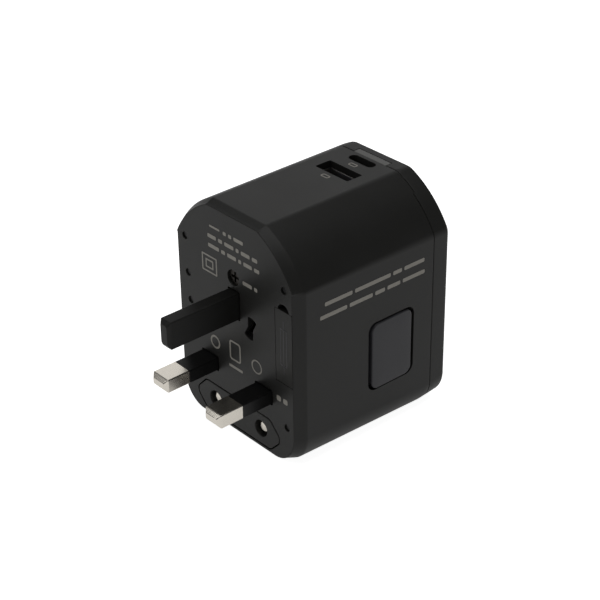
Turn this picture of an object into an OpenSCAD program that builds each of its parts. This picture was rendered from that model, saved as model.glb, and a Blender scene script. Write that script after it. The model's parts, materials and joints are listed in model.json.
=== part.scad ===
// Universal travel adapter: three sliding plug sets, a spare fuse drawer, USB outlets, shuttered socket.
// Millimetres. X runs across the body, -Y is the plug face, +Y is the socket side, Z is up.
// Inside the modules Y is measured from the plug face and Z from the line through the two flat pins.

/* [Body] */
// Overall width of the body
body_width = 50.2;       // [50:0.1:51]
// Overall depth from plug face to socket face
body_depth = 53;         // [52.6:0.1:54]
// Height of the flat pin line above the base
pin_line = 18.6;         // [18.4:0.1:19]
// Height of the flat top above the pin line
top_z = 48.3;            // [48:0.1:48.8]
// Half width of the flat top
top_half = 10.5;         // [10:0.1:11]
// Height at which the shoulders meet the sides
side_top = 35;           // [34.8:0.1:35.4]
// Radius of the shoulders
shoulder_r = 30;         // [29:0.5:32]
// Radius of the lower corners
corner_r = 10;           // [9.5:0.1:10.4]
// Wall thickness
wall = 2;                // [1.8:0.1:2.1]
// Depth of the front bevel
bevel = 3;               // [2.4:0.1:3.4]
// Width of the bevelled rim on each side of the plug plate
rim_side = 2.2;          // [1.8:0.1:2.3]
// Width of the bevelled rim above and below the plug plate
rim_top = 0.85;          // [0.7:0.05:0.9]
// Distance of the cap joint line from the plug face
split = 47.2;            // [47:0.1:47.4]

/* [Plugs] */
// Distance of each flat pin from the middle
pin_x = 11.1;            // [11:0.05:11.2]
// Length of the flat pins
pin_len = 17.7;          // [17:0.1:18]
// Length of the insulating sleeves
sleeve_len = 9.6;        // [9:0.1:10]
// Height of the earth pin above the flat pins
earth_z = 22.2;          // [22.1:0.05:22.3]
// Length of the earth pin
earth_len = 22.8;        // [22:0.1:23.2]
// Distance of each round pin from the middle
round_x = 9.5;           // [9.3:0.05:9.6]
// Diameter of the round pins
round_d = 4;             // [3.9:0.05:4.1]
// Distance of each flat blade from the middle
blade_x = 6.35;          // [6.35:0.01:6.4]
// Height of the blade axes above the pin line
blade_z = 17.5;          // [17.4:0.05:17.5]

/* [Button] */
// Length of the release button along the body
btn_len = 15.9;          // [15:0.1:16.2]
// Height of the release button
btn_high = 20.4;         // [19.4:0.1:20.4]
// How far the button stands proud of the side
btn_proud = 1;           // [0.8:0.05:1.2]

/* [Ports] */
// Width of the large charging port
port_a_w = 12.5;         // [12.3:0.05:12.7]
// Width of the small charging port
port_c_w = 8.4;          // [8.2:0.05:8.6]

/* [Hidden] */
half_w = body_width / 2;
back = body_depth;
corner_x = half_w - corner_r;
corner_z = corner_r - pin_line;
// centre of each shoulder arc, found from its two ends
ch_x = half_w - top_half;
ch_z = top_z - side_top;
ch = sqrt(ch_x * ch_x + ch_z * ch_z);
rise = sqrt(shoulder_r * shoulder_r - ch * ch / 4);
arc_x = (half_w + top_half) / 2 - rise * ch_z / ch;
arc_z = (top_z + side_top) / 2 - rise * ch_x / ch;
// nose of the round pin plug: height of its middle, half width of its flats, half height, half length
hex_z = -12.1;
hex_flat = 13.2;
hex_half = 4.7;
hex_tip = 17.8;
round_z = -12;
btn_y = 32.4;
btn_z = 6.6;
screw_z = 29.9;
peg_spots = [[-19.8, 34.5], [19.8, 34.5], [-19.1, 23.7], [-18.5, 15.5], [20.2, -6.4], [-20.2, -6.4]];

c_body = [0.16, 0.16, 0.15];
c_dark = [0.09, 0.09, 0.09];
c_grey = [0.24, 0.24, 0.26];
c_metal = [0.80, 0.78, 0.74];
c_brass = [0.78, 0.62, 0.30];
c_board = [0.10, 0.32, 0.18];
c_clear = [0.62, 0.62, 0.62];

module fr() translate([0, -body_depth / 2, pin_line]) children();
module bx(x0, x1, y0, y1, z0, z1) translate([x0, y0, z0]) cube([x1 - x0, y1 - y0, z1 - z0]);
module cy(x, z, y0, y1, d) translate([x, y1, z]) rotate([90, 0, 0]) cylinder(h = y1 - y0, d = d, $fn = 64);
module cx(y, z, x0, x1, d) translate([x0, y, z]) rotate([0, 90, 0]) cylinder(h = x1 - x0, d = d, $fn = 64);
module cz(x, y, z0, z1, d) translate([x, y, z0]) cylinder(h = z1 - z0, d = d, $fn = 64);
module both() { children(); mirror([1, 0, 0]) children(); }
// flat outline in X and Z carried along Y
module prism(y0, y1) translate([0, y1, 0]) rotate([90, 0, 0]) linear_extrude(y1 - y0) children();
// flat outline in Y and Z carried along X
module slab(x0, x1) translate([x0, 0, 0]) rotate([90, 0, 90]) linear_extrude(x1 - x0) children();
module cone(x, z, y0, y1, r0, r1) translate([x, y1, z]) rotate([90, 0, 0]) cylinder(h = y1 - y0, r1 = r1, r2 = r0, $fn = 128);

function meet_z(o) = arc_z + sqrt(pow(shoulder_r - o, 2) - pow(half_w - o - arc_x, 2));

// outline of the body, drawn in by o
module outline(o) {
  intersection() {
    translate([arc_x, arc_z]) circle(r = shoulder_r - o, $fn = 180);
    translate([-arc_x, arc_z]) circle(r = shoulder_r - o, $fn = 180);
    translate([o - half_w, meet_z(o) - 1]) square([2 * (half_w - o), top_z - o - meet_z(o) + 1]);
  }
  translate([o - half_w, corner_z]) square([2 * (half_w - o), meet_z(o) - corner_z]);
  translate([-corner_x, o - pin_line]) square([2 * corner_x, corner_z + pin_line - o + 1]);
  for (s = [-1, 1]) translate([s * corner_x, corner_z]) circle(r = corner_r - o, $fn = 96);
}

// body whose outline is drawn in by o0 at y0 and by o1 at y1, all flat faces and cones
module taper(y0, y1, o0, o1) {
  m = min(meet_z(o0), meet_z(o1)) - 1;
  intersection() {
    cone(arc_x, arc_z, y0, y1, shoulder_r - o0, shoulder_r - o1);
    cone(-arc_x, arc_z, y0, y1, shoulder_r - o0, shoulder_r - o1);
    slab(-half_w, half_w) polygon([[y0, m], [y1, m], [y1, top_z - o1], [y0, top_z - o0]]);
    translate([0, 0, m]) linear_extrude(30) polygon([[o0 - half_w, y0], [half_w - o0, y0],
      [half_w - o1, y1], [o1 - half_w, y1]]);
  }
  translate([0, 0, corner_z]) linear_extrude(m + 0.5 - corner_z) polygon([[o0 - half_w, y0],
    [half_w - o0, y0], [half_w - o1, y1], [o1 - half_w, y1]]);
  slab(-corner_x, corner_x) polygon([[y0, o0 - pin_line], [y1, o1 - pin_line],
    [y1, corner_z + 1], [y0, corner_z + 1]]);
  for (s = [-1, 1]) cone(s * corner_x, corner_z, y0, y1, corner_r - o0, corner_r - o1);
}

module plate_outline(o) intersection() {
  outline(rim_top + o);
  translate([o - half_w + rim_side, -40]) square([2 * (half_w - rim_side - o), 100]);
}

module rrect(a0, a1, b0, b1, r) {
  translate([a0 + r, b0]) square([a1 - a0 - 2 * r, b1 - b0]);
  translate([a0, b0 + r]) square([a1 - a0, b1 - b0 - 2 * r]);
  for (a = [a0 + r, a1 - r], b = [b0 + r, b1 - r]) translate([a, b]) circle(r = r, $fn = 32);
}

// outline of the nose, grown by o
module hexagon(o) {
  flat = hex_flat + 0.6 * o;
  high = hex_half + o;
  tip = hex_tip + 1.1 * o;
  polygon([[-flat, hex_z - high], [flat, hex_z - high], [tip, hex_z],
    [flat, hex_z + high], [-flat, hex_z + high], [-tip, hex_z]]);
}

// slot swept by one flat blade as it turns through thirty degrees, top outwards
module bow(s) translate([s * blade_x, blade_z]) for (a = [0, 7.5, 15, 22.5, 30])
  rotate(-s * a) square([2.0, 6.8], center = true);

module slot_side(y0, y1, z0, z1) bx(-half_w - 1, -half_w + wall + 1, y0, y1, z0, z1);

// ---- outer parts ----
module housing_shell() color(c_body) fr() difference() {
  union() {
    taper(0, bevel, 0.6, 0);
    prism(bevel, split) outline(0);
  }
  prism(2, split + 1) outline(wall);
  prism(-1, 2.05) plate_outline(-0.05);
  bx(-14, 14, 1, split + 1, -pin_line + 1.3, -10);
  slab(half_w - wall - 1, half_w + 1) rrect(btn_y - btn_len / 2 - 0.3, btn_y + btn_len / 2 + 0.3,
    btn_z - btn_high / 2 - 0.3, btn_z + btn_high / 2 + 0.3, 3.3);
  bx(-port_a_w / 2, port_a_w / 2, 33.95, 39.25, top_z - 3, top_z + 1);
  bx(-port_c_w / 2 + 1.1, port_c_w / 2 - 1.1, 43.6, 46.6, top_z - 3, top_z + 1);
  for (s = [-1, 1]) cz(s * (port_c_w / 2 - 1.1), 45.1, top_z - 3, top_z + 1, 3);
  slot_side(4.1, 31.4, 23.8, 27.2);
  slot_side(4.6, 29.4, 10.2, 13.8);
  slot_side(6.1, 41.4, -7.2, -3.9);
}

module front_plate() color(c_body) fr() difference() {
  union() {
    prism(0, 2) plate_outline(0);
    cy(0, screw_z, 1.9, 11.9, 5.2);
    bx(15.7, 16.1, 1.9, 12, 6, 29);
  }
  for (s = [-1, 1]) bx(s * pin_x - 3.6, s * pin_x + 3.6, -1, 3, -2.45, 2.45);
  bx(-2.4, 2.4, -1, 3, earth_z - 4.4, earth_z + 4.4);
  prism(-1, 3) hexagon(0.35);
  prism(-1, 3) bow(1);
  prism(-1, 3) bow(-1);
  bx(16.15, 24, -1, 3, 6.65, 28.65);
  intersection() {
    cy(19.5, 28, -1, 1.3, 4.6);
    bx(17, 22.3, -1, 1.3, 28.6, 31);
  }
  cy(0, screw_z, -1, 2.2, 4.7);
  cy(0, screw_z, 2, 12, 2.8);
  for (p = peg_spots) cy(p[0], p[1], -1, 3, 2.1);
}

module plate_pegs() color(c_dark) fr()
  for (p = peg_spots) cy(p[0], p[1], 0.45, 2.6, 2.0);

module centre_screw() color(c_metal) fr() difference() {
  union() {
    cy(0, screw_z, 0.7, 2.2, 4.4);
    cy(0, screw_z, 2.1, 19, 2.4);
  }
  bx(-1.5, 1.5, 0, 1.3, screw_z - 0.35, screw_z + 0.35);
  bx(-0.35, 0.35, 0, 1.3, screw_z - 1.5, screw_z + 1.5);
}

module socket_slots(y0, y1) {
  for (s = [-1, 1]) {
    bx(s * pin_x - 3.7, s * pin_x + 3.7, y0, y1, -2.5, 2.5);
    cy(s * round_x, 0, y0, y1, 5.4);
    bx(s * blade_x - 1.1, s * blade_x + 1.1, y0, y1, -3.4, 3.4);
  }
}

module rear_cap() color(c_body) fr() difference() {
  union() {
    prism(split, back - 0.8) outline(0);
    taper(back - 0.8, back, 0, 0.8);
    difference() {
      prism(split - 3, split + 0.5) outline(wall + 0.08);
      prism(split - 4, split + 1) outline(wall + 1.1);
      bx(-9, 9, split - 4, split + 1, 40, 50);
      bx(-25, -20, split - 4, split - 0.01, -9, 29);
      bx(-14.2, 14.2, split - 4, split + 1, -pin_line, -14);
    }
  }
  difference() {
    prism(split - 0.01, back - 2) outline(wall);
    prism(split - 1, split + 0.5) difference() { outline(wall + 0.08); outline(wall + 1.1); }
    for (s = [-1, 1]) bx(s * 18.2 - 1.2, s * 18.2 + 1.2, 48.6, back, -16, 15);
    bx(-2.2, 2.2, 48.4, back, 17.2, 17.85);
  }
  socket_slots(back - 3, back + 1);
  bx(-2.4, 2.4, back - 3, back + 1, earth_z - 4.4, earth_z + 4.4);
  bx(-6.25, 6.25, split - 1, 49.75, top_z - wall - 0.3, top_z + 1);
  bx(-9, 9, split - 0.5, split + 1, 42, top_z - wall);
}

module light_pipe() color(c_clear) fr() union() {
  bx(-6.2, 6.2, split + 0.05, 49.7, 45, top_z);
  bx(-7.2, 7.2, split + 0.05, 50.4, 44, top_z - wall - 0.35);
}

// ---- fixed inner parts ----
module chassis() color(c_dark) fr() difference() {
  union() {
    bx(-22.6, 18.6, 31.9, 33.4, -3.4, 33.4);
    cy(0, screw_z, 12, 32, 5);
    bx(16.5, 17.6, 33.3, 41.4, 5, 16);
    bx(16.5, 17.6, 34.4, 41.4, -2, 5.1);
    bx(16.5, 18.6, 31.9, 33.4, -3.4, 16);
  }
  cy(0, screw_z, 11, 26, 2.5);
  bx(15.3, 17.35, 31, 33.5, -3.5, 4.6);
  bx(-17.35, -15.3, 31, 33.5, -3.5, 4.6);
  bx(-4.4, 4.4, 31, 34, earth_z - 4.6, earth_z + 5.1);
}

module contact_block() color(c_dark) fr() difference() {
  bx(-15.4, 15.4, 34.7, 48.4, -3.6, 3.6);
  for (s = [-1, 1]) bx(s * 10.7 - 3.95, s * 10.7 + 3.95, 34, 47, -3.05, 3.05);
  socket_slots(46, 49);
  bx(-4.2, 4.2, 34, 46, -4, 2.2);
}

module clip(s) fr() difference() {
  bx(s * 10.7 - 3.8, s * 10.7 + 3.8, 34.05, 46.6, -3, 3);
  bx(s * 10.7 - 4, s * 10.7 + 4, 34.7, 47, -2.35, 2.35);
}
module contact_live() color(c_brass) clip(-1);
module contact_neutral() color(c_brass) clip(1);

module rail() fr() {
  bx(16.5, 17.2, 4, 34.05, -3, 4);
  bx(8, 17.2, 33.45, 34.05, 0.4, 2.9);
}
module rail_neutral() color(c_brass) rail();
module rail_live() color(c_brass) mirror([1, 0, 0]) rail();

// ---- charging board ----
module usb_board() color(c_board) fr() difference() {
  bx(-17, 17, 6, 50.3, 33.4, 35);
  for (x = [-15, 15], y = [9, 40]) cz(x, y, 33, 36, 2.2);
}

module usb_a_shell() color(c_metal) fr() difference() {
  bx(-port_a_w / 2 - 0.3, port_a_w / 2 + 0.3, 33.75, 39.45, 35, top_z - wall - 0.1);
  bx(-port_a_w / 2, port_a_w / 2, 34.05, 39.15, 36, 48);
}
module usb_a_tongue() color([0.10, 0.20, 0.45]) fr() bx(-5.6, 5.6, 34.9, 36.7, 36, 44.2);
module usb_a_contacts() color(c_brass) fr() for (x = [-3.5, -1.1, 1.1, 3.5])
  bx(x - 0.5, x + 0.5, 36.7, 36.9, 37, 43.6);

module usb_c_form(o, z0, z1) {
  bx(-port_c_w / 2 + 1.35, port_c_w / 2 - 1.35, 45.1 - 1.3 - o, 45.1 + 1.3 + o, z0, z1);
  for (s = [-1, 1]) cz(s * (port_c_w / 2 - 1.3), 45.1, z0, z1, 2.6 + 2 * o);
}
module usb_c_shell() color(c_metal) fr() difference() {
  usb_c_form(0.3, 35, top_z - wall - 0.1);
  usb_c_form(0, 36, 48);
}
module usb_c_tongue() color(c_dark) fr() bx(-3.3, 3.3, 44.75, 45.45, 36, 44.6);

module transformer_core() color(c_grey) fr() difference() {
  bx(-13.5, -1.5, 9, 21, 35, 43);
  bx(-11.5, -3.5, 8, 22, 36.8, 41.2);
}
module transformer_winding() color([0.85, 0.68, 0.20]) fr() bx(-11.4, -3.6, 10, 20, 36.9, 41.1);
module filter_capacitors() color([0.18, 0.24, 0.40]) fr() for (y = [11, 20.5]) cz(6, y, 35, 43.5, 8);
module indicator_led() color([0.3, 0.5, 0.9]) fr() union() {
  cz(0, 48.5, 35, 36, 3.6);
  cz(0, 48.5, 35.9, 42.8, 3);
}
module fuse(l, d) {
  difference() {
    cylinder(h = l, d = d - 0.3, $fn = 48);
    translate([0, 0, 4.6]) cylinder(h = l - 9.2, d = d - 1.4, $fn = 48);
  }
  for (z = [0, l - 4.6]) translate([0, 0, z]) cylinder(h = 4.6, d = d, $fn = 48);
}
module main_fuse() color(c_clear) fr() translate([-10, 29, 39.2]) rotate([0, 90, 0]) fuse(20, 5);
module fuse_clips() color(c_brass) fr() for (s = [-1, 1]) difference() {
  bx(s * 8 - 1.6, s * 8 + 1.6, 26, 32, 35, 40.4);
  bx(s * 8 - 2, s * 8 + 2, 26.6, 31.4, 38, 41);
  bx(s * 8 - 2, s * 8 + 2, 26.6, 31.4, 35.6, 36.3);
  cx(29, 39.2, s * 8 - 2, s * 8 + 2, 5.1);
}

// ---- flat pin plug with its earth pin ----
module uk_carriage() color(c_dark) fr() difference() {
  union() {
    bx(-15.4, 15.4, 2.4, 8.4, 22.5, 27);
    bx(11, 15.4, 2.4, 8.4, -3, 27);
    bx(-15.4, 15.4, 2.4, 8.4, -3, 3);
    bx(-half_w - 0.4, -15, 4.5, 8, 24, 27);
  }
  for (s = [-1, 1]) bx(s * pin_x - 2.7, s * pin_x + 2.7, 2, 9, -1.52, 1.52);
  bx(-2.05, 2.05, 2, 9, 20, 26.25);
}
module pin_tip(w, h, y0, c) {
  slab(-w / 2 - 1, w / 2 + 1) polygon([[40, -h / 2], [40, h / 2], [y0 + c, h / 2], [y0, 0.3],
    [y0, -0.3], [y0 + c, -h / 2]]);
}
module pin_plan(w, h, y0, c) translate([0, 0, -h]) linear_extrude(2 * h)
  polygon([[-w / 2, 40], [w / 2, 40], [w / 2, y0 + c], [w / 2 - 1.4, y0], [1.4 - w / 2, y0], [-w / 2, y0 + c]]);
module uk_pin() intersection() {
  union() {
    bx(-3.175, 3.175, -pin_len, -sleeve_len, -2, 2);
    bx(-2.675, 2.675, -sleeve_len - 0.1, 8.4, -1.5, 1.5);
  }
  pin_tip(6.35, 4, -pin_len, 0.9);
  pin_plan(6.35, 4, -pin_len, 0.9);
}
module uk_pin_left() color(c_metal) fr() translate([-pin_x, 0, 0]) uk_pin();
module uk_pin_right() color(c_metal) fr() translate([pin_x, 0, 0]) uk_pin();
module uk_sleeves() color(c_dark) fr() for (s = [-1, 1]) difference() {
  bx(s * pin_x - 3.175, s * pin_x + 3.175, -sleeve_len, 2.38, -2, 2);
  bx(s * pin_x - 2.7, s * pin_x + 2.7, -20, 9, -1.52, 1.52);
}
module uk_earth_pin() color(c_dark) fr() union() {
  translate([0, 0, earth_z]) intersection() {
    bx(-2, 2, -earth_len, 8.4, -4, 4);
    pin_tip(4, 8, -earth_len, 0.8);
    translate([0, 0, -8]) linear_extrude(16) polygon([[-2, 40], [2, 40], [2, 0.8 - earth_len],
      [1.3, -earth_len], [-1.3, -earth_len], [-2, 0.8 - earth_len]]);
  }
  bx(-4, 4, 8.42, 9.4, 22.5, 27);
  bx(-2, 2, 8.3, 9.4, earth_z - 4, 23);
}
module uk_wipers() color(c_brass) fr() both() {
  bx(9, 16.1, 8.42, 8.8, 0.6, 2.6);
  bx(15.75, 16.1, 5, 8.8, 0.6, 2.6);
}
module knob(y, z) {
  difference() {
    bx(-half_w - 2.2, -half_w - 0.4, y - 3.2, y + 3.2, z - 2.8, z + 2.8);
    for (d = [-1.8, 0, 1.8]) bx(-half_w - 3, -half_w - 1.8, y + d - 0.35, y + d + 0.35, z - 3, z + 3);
  }
}
module uk_knob() color(c_grey) fr() knob(6.4, 25.5);

// ---- round pin plug and its nose ----
module eu_carriage() color(c_dark) fr() difference() {
  union() {
    bx(-12.6, 12.6, 35, 43, -15, -7.2);
    bx(-half_w - 0.4, -12, 37, 41, -6.9, -4.3);
    bx(-12.9, -11, 37, 41, -9, -4.3);
  }
  for (s = [-1, 1]) cy(s * round_x, round_z, 34, 44, round_d + 0.04);
}
module eu_pins() color(c_metal) fr() for (s = [-1, 1]) union() {
  cy(s * round_x, round_z, 1.4, 43, round_d);
  cone(s * round_x, round_z, 0.9, 1.41, 1.7, round_d / 2);
  cone(s * round_x, round_z, 0.6, 0.91, 1.0, 1.7);
}
module eu_wipers() color(c_brass) fr() both() {
  bx(8, 16.1, 43.02, 43.4, -12.5, -10);
  bx(15.75, 16.1, 41.4, 43.4, -12.5, -0.6);
}
module eu_knob() color(c_grey) fr() knob(39, -5.6);
module eu_nose() color(c_body) fr() difference() {
  union() {
    prism(0, 15.6) hexagon(0);
    bx(-18.6, 18.6, 14.2, 15.6, -13.4, -6.4);
  }
  for (s = [-1, 1]) cy(s * round_x, round_z, -1, 17, 4.8);
}

// ---- flat blade plug, each blade on its own turning rotor ----
module us_carriage() color(c_dark) fr() difference() {
  union() {
    for (s = [-1, 1]) cy(s * blade_x, blade_z, 23, 31.4, 8);
    bx(-9, 9, 23, 31.4, 9.5, 14);
    bx(-half_w - 0.4, -6, 25, 29, 10.5, 13.5);
  }
  for (s = [-1, 1]) cy(s * blade_x, blade_z, 22, 30.2, 7);
}
module us_knob() color(c_grey) fr() knob(27, 12);
module us_rotor(s) fr() difference() {
  cy(s * blade_x, blade_z, 23.4, 29.9, 6.7);
  bx(s * blade_x - 0.77, s * blade_x + 0.77, 23, 28, blade_z - 3.12, blade_z + 3.12);
}
module us_blade(s) fr() difference() {
  union() {
    bx(s * blade_x - 0.75, s * blade_x + 0.75, 4.6, 27.9, blade_z - 3.1, blade_z + 3.1);
    translate([s * blade_x, 0, blade_z]) slab(-0.75, 0.75)
      polygon([[3.6, -2.2], [3.6, 2.2], [4.7, 3.1], [4.7, -3.1]]);
  }
  cx(7.3, blade_z, s * blade_x - 2, s * blade_x + 2, 3);
}
module us_rotor_left() color(c_grey) us_rotor(-1);
module us_rotor_right() color(c_grey) us_rotor(1);
module us_blade_left() color(c_metal) us_blade(-1);
module us_blade_right() color(c_metal) us_blade(1);

// ---- release button ----
module release_button() color(c_grey) fr() difference() {
  union() {
    slab(half_w - wall - 0.3, half_w + btn_proud) rrect(btn_y - btn_len / 2, btn_y + btn_len / 2,
      btn_z - btn_high / 2, btn_z + btn_high / 2, 3);
    bx(half_w - 3.6, half_w - wall - 0.3, btn_y - 9, btn_y + 9, btn_z - 11.2, btn_z + 11.2);
  }
  bx(half_w - 4, half_w - 1.2, btn_y - 6.3, btn_y + 3, btn_z - 8.6, btn_z + 8.6);
}
module latch_bar() color(c_dark) fr() union() {
  bx(half_w - 4.9, half_w - 3.62, 33.9, 36.4, 8, 31.4);
  bx(-19, half_w - 3.62, 33.9, 36.4, 28.6, 31.4);
  for (x = [-19, -12]) bx(x, x + 2.5, 33.9, 36.4, 26.4, 29);
}
module ring(r, w) rotate_extrude($fn = 48) translate([r, 0]) circle(d = w, $fn = 16);
module coil(r, w, n, l) {
  p = (l - w) / n;
  t = atan(p / (2 * r));
  for (i = [0 : n - 1]) translate([0, 0, w / 2 + p * (i + 0.5)]) rotate([0, (i % 2 == 0 ? 1 : -1) * t, 0]) ring(r, w);
}
module button_springs() color(c_metal) fr() for (z = [0.9, 12.8])
  translate([17.65, 39, z]) rotate([0, 90, 0]) coil(2, 0.6, 4, 3.8);

// ---- socket shutter ----
module shutter() color(c_grey) fr() difference() {
  bx(-16.5, 16.5, 49, 50.6, -14.6, 6.5);
  for (s = [-1, 1]) bx(s * 10.2 - 5.2, s * 10.2 + 5.2, 48, 52, -12.4, -5.2);
}
module shutter_spring() color(c_metal) fr() translate([0, 49.6, 6.6]) coil(1.05, 0.4, 8, 10.2);

// ---- spare fuse drawer ----
module fuse_drawer() color(c_body) fr() difference() {
  union() {
    bx(16.35, 22.75, 0, 1.9, 6.85, 28.45);
    bx(16.6, 22.7, 1.8, 10.2, 7.05, 28.2);
  }
  bx(17.3, 24, 3.1, 8.7, 7.7, 27.3);
}
module spare_fuse() color(c_clear) fr() translate([19.95, 5.9, 7.75]) fuse(19.5, 5);

housing_shell();
front_plate();
rear_cap();
light_pipe();
chassis();
contact_block();
contact_live();
contact_neutral();
rail_live();
rail_neutral();
plate_pegs();
centre_screw();
usb_board();
usb_a_shell();
usb_a_tongue();
usb_a_contacts();
usb_c_shell();
usb_c_tongue();
transformer_core();
transformer_winding();
filter_capacitors();
indicator_led();
main_fuse();
fuse_clips();
uk_carriage();
uk_pin_left();
uk_pin_right();
uk_sleeves();
uk_earth_pin();
uk_wipers();
uk_knob();
eu_carriage();
eu_pins();
eu_wipers();
eu_knob();
eu_nose();
us_carriage();
us_knob();
us_rotor_left();
us_blade_left();
us_rotor_right();
us_blade_right();
release_button();
latch_bar();
button_springs();
shutter();
shutter_spring();
fuse_drawer();
spare_fuse();
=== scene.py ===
# Universal travel adapter: the looks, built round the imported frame. Metres; +Z up, plug face at -Y.
import json
from math import atan2, cos, pi, radians, sin, sqrt

import bmesh
import bpy
import numpy as np
from mathutils import Euler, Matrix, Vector


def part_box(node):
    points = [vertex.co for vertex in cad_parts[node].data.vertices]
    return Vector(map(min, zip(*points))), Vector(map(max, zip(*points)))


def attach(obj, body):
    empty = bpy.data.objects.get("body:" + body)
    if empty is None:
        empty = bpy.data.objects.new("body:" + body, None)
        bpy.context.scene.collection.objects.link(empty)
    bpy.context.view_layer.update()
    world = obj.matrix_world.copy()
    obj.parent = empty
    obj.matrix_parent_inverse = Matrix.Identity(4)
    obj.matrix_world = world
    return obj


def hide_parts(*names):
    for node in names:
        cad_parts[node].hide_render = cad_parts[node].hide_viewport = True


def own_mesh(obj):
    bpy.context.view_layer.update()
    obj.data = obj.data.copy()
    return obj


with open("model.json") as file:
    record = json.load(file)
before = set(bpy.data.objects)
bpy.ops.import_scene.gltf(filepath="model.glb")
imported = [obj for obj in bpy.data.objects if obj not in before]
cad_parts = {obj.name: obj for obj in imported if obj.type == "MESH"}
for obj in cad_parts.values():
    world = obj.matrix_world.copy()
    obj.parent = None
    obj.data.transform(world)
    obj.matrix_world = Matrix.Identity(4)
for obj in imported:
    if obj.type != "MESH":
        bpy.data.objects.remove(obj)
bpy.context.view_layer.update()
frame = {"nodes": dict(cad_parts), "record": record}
nodes = frame["nodes"]
record = frame["record"]

# ---- Camera ----
# A long lens that looks at the corner of the plug face and the button side, from above.
cam_data = bpy.data.cameras.new("camera")
cam_data.lens = 99.96
cam_data.sensor_width = 36.0
cam_data.clip_end = 20.0
camera = bpy.data.objects.new("camera", cam_data)
camera.location = (0.29164, -0.25648, 0.25971)
camera.rotation_euler = Euler((radians(59.557), radians(0.685), radians(48.708)))
bpy.context.scene.collection.objects.link(camera)
bpy.context.scene.camera = camera

# ---- Body shell ----
# One deep moulding in textured black plastic, open behind, with a bevelled rim round the plug plate.
# Its outline has big round lower corners and two long shoulders below a narrow flat top.
mm = 0.001
shell_lo, shell_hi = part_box("housing_shell")
half_w = shell_hi.x
face_y = shell_lo.y
joint_y = shell_hi.y
back_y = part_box("rear_cap")[1].y
top_z = shell_hi.z
pin_z = (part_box("uk_pin_left")[0].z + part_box("uk_pin_left")[1].z) / 2
wall = 2 * mm
corner_r, corner_tight, corner_back, tight_at = 10 * mm, 7.4 * mm, 9.0 * mm, 0.8
shoulder_r = 30 * mm
side_top = pin_z + 35 * mm
top_half = 10.5 * mm
kink_r, kink_back = 2.6 * mm, 4.6 * mm
flare = 0.33 * mm
rim_side, rim_top, rim_deep = 2.2 * mm, 0.85 * mm, 3.0 * mm
jog_angle, jog_deep = radians(52), 0.55 * mm
# Points on the runs of half the outline: lower corner, side kink, shoulder before the jog and past it,
# top kink. The last two runs lie past the jog of the rear joint.
run_points = (28, 8, 12, 8, 8)
past_jog = np.repeat([0, 0, 0, 1, 1], run_points)
past_jog = np.concatenate([past_jog, past_jog[::-1]])


def outline(in_side=0.0, in_top=0.0, kink=kink_r, corner=corner_r):
    """Closed outline in X and Z, traced by the angle of its outward normal.

    Each point is an arc's centre plus its radius along the normal, so the corner, the side, the
    shoulder and the top are arcs of different centres, and straight runs are jumps between them.
    The inset is in_side where the normal is level and in_top where it is upright. One half is worked
    out, then mirrored.
    """
    chord = np.hypot(half_w - top_half, top_z - side_top)
    rise = sqrt(shoulder_r ** 2 - chord ** 2 / 4)
    ax = (half_w + top_half) / 2 - rise * (top_z - side_top) / chord
    az = (top_z + side_top) / 2 - rise * (half_w - top_half) / chord
    reach = shoulder_r - kink
    low_kink = (half_w - kink, az + sqrt(reach ** 2 - (half_w - kink - ax) ** 2))
    top_kink = (ax + sqrt(reach ** 2 - (top_z - kink - az) ** 2), top_z - kink)
    p1 = atan2(low_kink[1] - az, low_kink[0] - ax)
    p2 = atan2(top_kink[1] - az, top_kink[0] - ax)
    step = 0.1 * mm / shoulder_r
    runs = [
        (-pi / 2, 0, half_w - corner, corner, corner),
        (0, p1, *low_kink, kink),
        (p1, jog_angle - step, ax, az, shoulder_r),
        (jog_angle + step, p2, ax, az, shoulder_r),
        (p2, pi / 2, *top_kink, kink),
    ]
    half = []
    for n, (a, b, cx, cz, r) in zip(run_points, runs):
        t = np.linspace(a, b, n)
        inset = in_side * np.cos(t) ** 2 + in_top * np.sin(t) ** 2
        half.append(np.stack([cx + (r - inset) * np.cos(t), cz + (r - inset) * np.sin(t)], 1))
    half = np.concatenate(half)
    return np.concatenate([half, half[::-1] * (-1, 1)])


def way_back(y):
    """How far a place lies from the rim's bevel to the back, from 0 to 1. The sides flare with it."""
    start = face_y + rim_deep
    return np.clip((y - start) / (back_y - start), 0, 1)


def section(y, in_side, in_top):
    """The outline at a place along Y: wider towards the back, with softer kinks and tighter corners."""
    share = way_back(y)
    corner = np.interp(share, (0, tight_at, 1), (corner_r, corner_tight, corner_back))
    return outline(in_side - flare * share, in_top, kink_r + (kink_back - kink_r) * share, corner)


def grid_mesh(name, points, around=True, ring=False, ends=False):
    """A mesh from points[row, column]: quads join neighbours, rows close round if ring is set."""
    rows, cols = points.shape[:2]
    i, j = np.meshgrid(np.arange(rows if ring else rows - 1), np.arange(cols if around else cols - 1),
                       indexing="ij")
    i2, j2 = (i + 1) % rows, (j + 1) % cols
    quads = np.stack([i * cols + j, i * cols + j2, i2 * cols + j2, i2 * cols + j], -1).reshape(-1, 4)
    faces = quads.tolist()
    if ends:
        faces += [list(range(cols))[::-1], list(range((rows - 1) * cols, rows * cols))]
    mesh = bpy.data.meshes.new(name)
    mesh.from_pydata(points.reshape(-1, 3).tolist(), [], faces)
    mesh.update()
    obj = bpy.data.objects.new(name, mesh)
    bpy.context.scene.collection.objects.link(obj)
    return obj


def face_out(obj):
    """Turns every face outwards, after coincident points are merged."""
    b = bmesh.new()
    b.from_mesh(obj.data)
    bmesh.ops.remove_doubles(b, verts=b.verts, dist=1e-7)
    bmesh.ops.recalc_face_normals(b, faces=b.faces)
    b.to_mesh(obj.data)
    b.free()


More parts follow.
